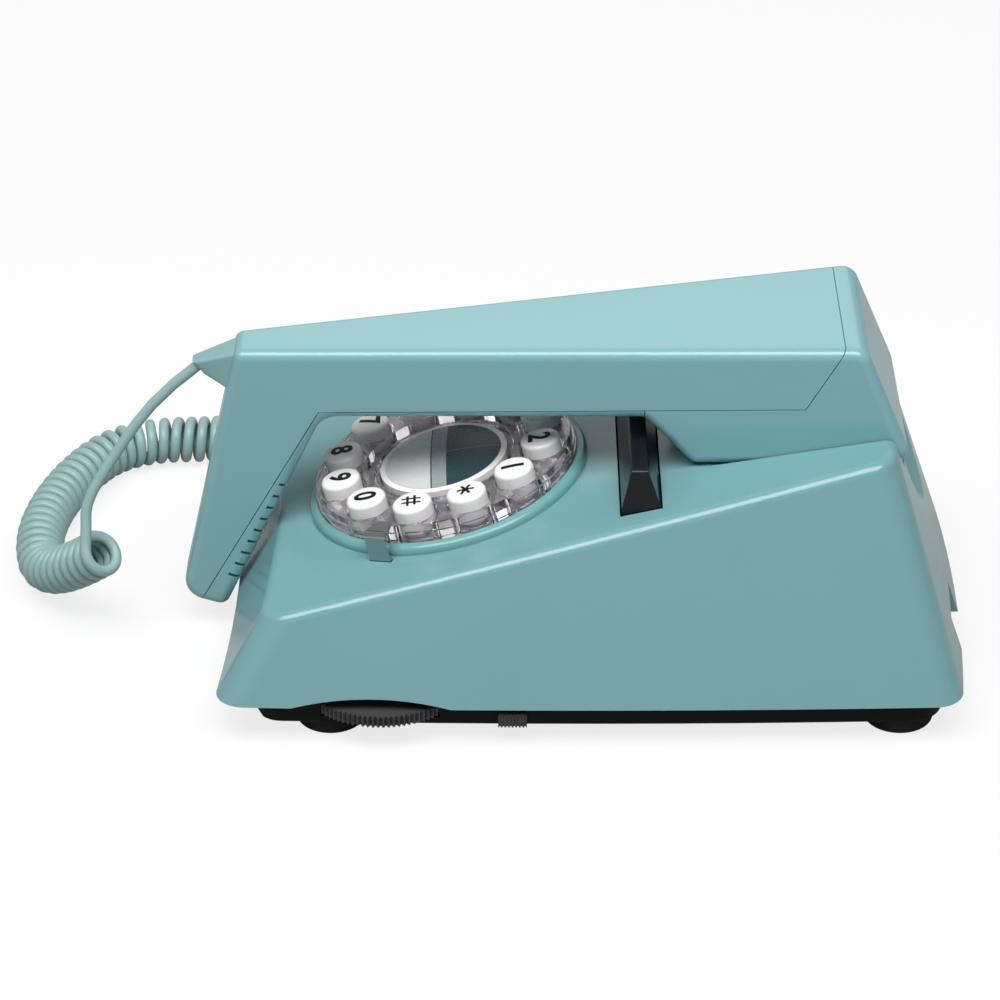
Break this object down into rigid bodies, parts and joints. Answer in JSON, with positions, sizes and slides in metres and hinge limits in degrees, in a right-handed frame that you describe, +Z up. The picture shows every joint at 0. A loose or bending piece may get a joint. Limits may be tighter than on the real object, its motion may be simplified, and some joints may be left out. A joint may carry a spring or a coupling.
{
  "type": "desk telephone",
  "caption": "Wedge-shaped desk telephone in pale grey-green plastic with push buttons on a round dial-style plate, a long angular handset and a curly cord.",
  "frame": {"origin": "on the table, in the middle of the telephone's length and width without its cord", "axes": "+X towards the rear, the raised earpiece end; -Y towards the telephone's left side, which the picture shows; +Z up"},
  "size_m": [0.2699, 0.17, 0.0991],
  "materials": {
    "case_plastic": "glossy moulded, pale grey-green",
    "bezel_plastic": "glossy moulded, as the case",
    "base_black": "fine grain",
    "foot_rubber": "matt",
    "screw_steel": "bright zinc",
    "board_green": "solder mask",
    "inner_black": "moulded",
    "clear_plastic": "clear, polished",
    "backing_grey": "satin, grey-purple",
    "key_white": "glossy moulded, printed",
    "label_two_tone": "silver and slate print under a clear face",
    "stop_chrome": "polished",
    "lever_black": "glossy moulded",
    "cord_plastic": "satin, extruded"
  },
  "bodies": {
    "base": {"body_shell": "case_plastic", "dial_bezel": "bezel_plastic", "base_plate": "base_black", "rubber_feet": "foot_rubber", "keypad_membrane": "foot_rubber", "base_screws": "screw_steel", "board_screws": "screw_steel", "dial_screws": "screw_steel", "main_board": "board_green", "keypad_board": "board_green", "hook_switch": "inner_black", "line_jack": "inner_black", "handset_jack": "inner_black", "ringer": "inner_black", "volume_pot": "inner_black", "tone_switch": "inner_black", "dial_plate": "clear_plastic", "cord_plug": "clear_plastic", "dial_backing": "backing_grey", "finger_stop": "stop_chrome", "cord_lead": "cord_plastic", "cord_coil": "cord_plastic", "cord_tail": "cord_plastic"},
    "handset": {"handset_back": "case_plastic", "handset_cover": "case_plastic", "earpiece_shell": "case_plastic", "handset_screws": "screw_steel", "microphone_capsule": "inner_black", "receiver_capsule": "inner_black", "strain_relief": "case_plastic"},
    "hook": {"hook_lever": "lever_black"},
    "volume": {"volume_wheel": "base_black"},
    "tone": {"tone_slider": "base_black"},
    "redial": {"redial_button": "key_white", "redial_label": "label_two_tone"},
    "key_1_cap": {"key_1": "key_white"},
    "key_2_cap": {"key_2": "key_white"},
    "key_3_cap": {"key_3": "key_white"},
    "key_4_cap": {"key_4": "key_white"},
    "key_5_cap": {"key_5": "key_white"},
    "key_6_cap": {"key_6": "key_white"},
    "key_7_cap": {"key_7": "key_white"},
    "key_8_cap": {"key_8": "key_white"},
    "key_9_cap": {"key_9": "key_white"},
    "key_0_cap": {"key_0": "key_white"},
    "key_star_cap": {"key_star": "key_white"},
    "key_hash_cap": {"key_hash": "key_white"}
  },
  "joints": [
    {"name": "handset_lift", "type": "slide", "parent": "base", "child": "handset", "axis": [0, 0, 1], "range_m": [0, 0.06], "deforming": ["cord_lead"]},
    {"name": "hook_rise", "type": "slide", "parent": "base", "child": "hook", "axis": [0, 0, 1], "range_m": [0, 0.003]},
    {"name": "volume_turn", "type": "hinge", "parent": "base", "child": "volume", "pos_m": [-0.0521, -0.0471, 0.0094], "axis": [0, 0, 1], "range_deg": [-135, 135]},
    {"name": "tone_slide", "type": "slide", "parent": "base", "child": "tone", "axis": [1, 0, 0], "range_m": [-0.002, 0.002]},
    {"name": "redial_press", "type": "slide", "parent": "base", "child": "redial", "axis": [0.229, 0, -0.9734], "range_m": [0, 0.0015], "stiffness_N_per_m": 400},
    {"name": "key_1_press", "type": "slide", "parent": "base", "child": "key_1_cap", "axis": [0.229, 0, -0.9734], "range_m": [0, 0.0015], "stiffness_N_per_m": 300},
    {"name": "key_2_press", "type": "slide", "parent": "base", "child": "key_2_cap", "axis": [0.229, 0, -0.9734], "range_m": [0, 0.0015], "stiffness_N_per_m": 300},
    {"name": "key_3_press", "type": "slide", "parent": "base", "child": "key_3_cap", "axis": [0.229, 0, -0.9734], "range_m": [0, 0.0015], "stiffness_N_per_m": 300},
    {"name": "key_4_press", "type": "slide", "parent": "base", "child": "key_4_cap", "axis": [0.229, 0, -0.9734], "range_m": [0, 0.0015], "stiffness_N_per_m": 300},
    {"name": "key_5_press", "type": "slide", "parent": "base", "child": "key_5_cap", "axis": [0.229, 0, -0.9734], "range_m": [0, 0.0015], "stiffness_N_per_m": 300},
    {"name": "key_6_press", "type": "slide", "parent": "base", "child": "key_6_cap", "axis": [0.229, 0, -0.9734], "range_m": [0, 0.0015], "stiffness_N_per_m": 300},
    {"name": "key_7_press", "type": "slide", "parent": "base", "child": "key_7_cap", "axis": [0.229, 0, -0.9734], "range_m": [0, 0.0015], "stiffness_N_per_m": 300},
    {"name": "key_8_press", "type": "slide", "parent": "base", "child": "key_8_cap", "axis": [0.229, 0, -0.9734], "range_m": [0, 0.0015], "stiffness_N_per_m": 300},
    {"name": "key_9_press", "type": "slide", "parent": "base", "child": "key_9_cap", "axis": [0.229, 0, -0.9734], "range_m": [0, 0.0015], "stiffness_N_per_m": 300},
    {"name": "key_0_press", "type": "slide", "parent": "base", "child": "key_0_cap", "axis": [0.229, 0, -0.9734], "range_m": [0, 0.0015], "stiffness_N_per_m": 300},
    {"name": "key_star_press", "type": "slide", "parent": "base", "child": "key_star_cap", "axis": [0.229, 0, -0.9734], "range_m": [0, 0.0015], "stiffness_N_per_m": 300},
    {"name": "key_hash_press", "type": "slide", "parent": "base", "child": "key_hash_cap", "axis": [0.229, 0, -0.9734], "range_m": [0, 0.0015], "stiffness_N_per_m": 300}
  ],
  "couplings": [
    {"joint": "hook_rise", "follows": "handset_lift", "ratio": 0.05}
  ]
}
